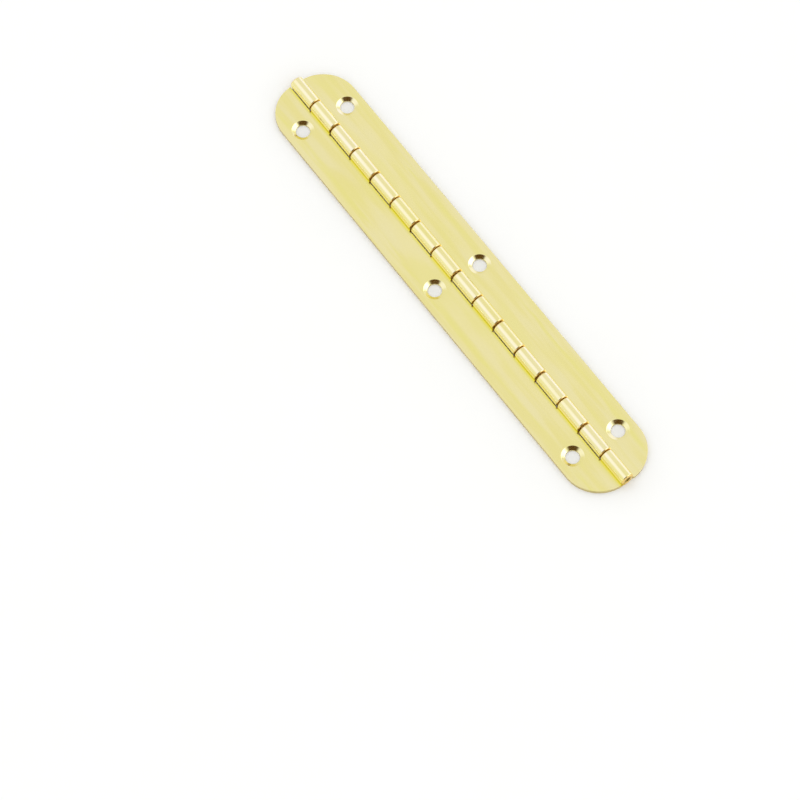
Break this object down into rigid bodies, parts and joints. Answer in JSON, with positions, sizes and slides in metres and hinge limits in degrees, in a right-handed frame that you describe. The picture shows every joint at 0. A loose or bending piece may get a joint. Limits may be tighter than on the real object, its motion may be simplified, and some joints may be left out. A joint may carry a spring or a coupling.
{
  "type": "piano hinge",
  "caption": "Continuous hinge with rounded ends: two countersunk sheet leaves with interleaved rolled knuckles turn on one wire pin.",
  "frame": {"origin": "on the pin's axis, halfway along the hinge, with the leaves laid flat open", "axes": "+X along the pin, +Y across the right leaf, +Z out of the countersunk side, where the barrel stands proud"},
  "size_m": [0.136, 0.022, 0.0036],
  "materials": {
    "leaf": "polished pale brass plating under clear lacquer, faint lengthwise rolling streaks",
    "pin": "drawn wire, brass plated, duller than the leaves"
  },
  "bodies": {
    "fixed_leaf": {"left_leaf": "leaf", "hinge_pin": "pin"},
    "moving_leaf": {"right_leaf": "leaf"}
  },
  "joints": [
    {"name": "leaf_swing", "type": "hinge", "parent": "fixed_leaf", "child": "moving_leaf", "pos_m": [0, 0, 0], "axis": [1, 0, 0], "range_deg": [-90, 180]}
  ]
}
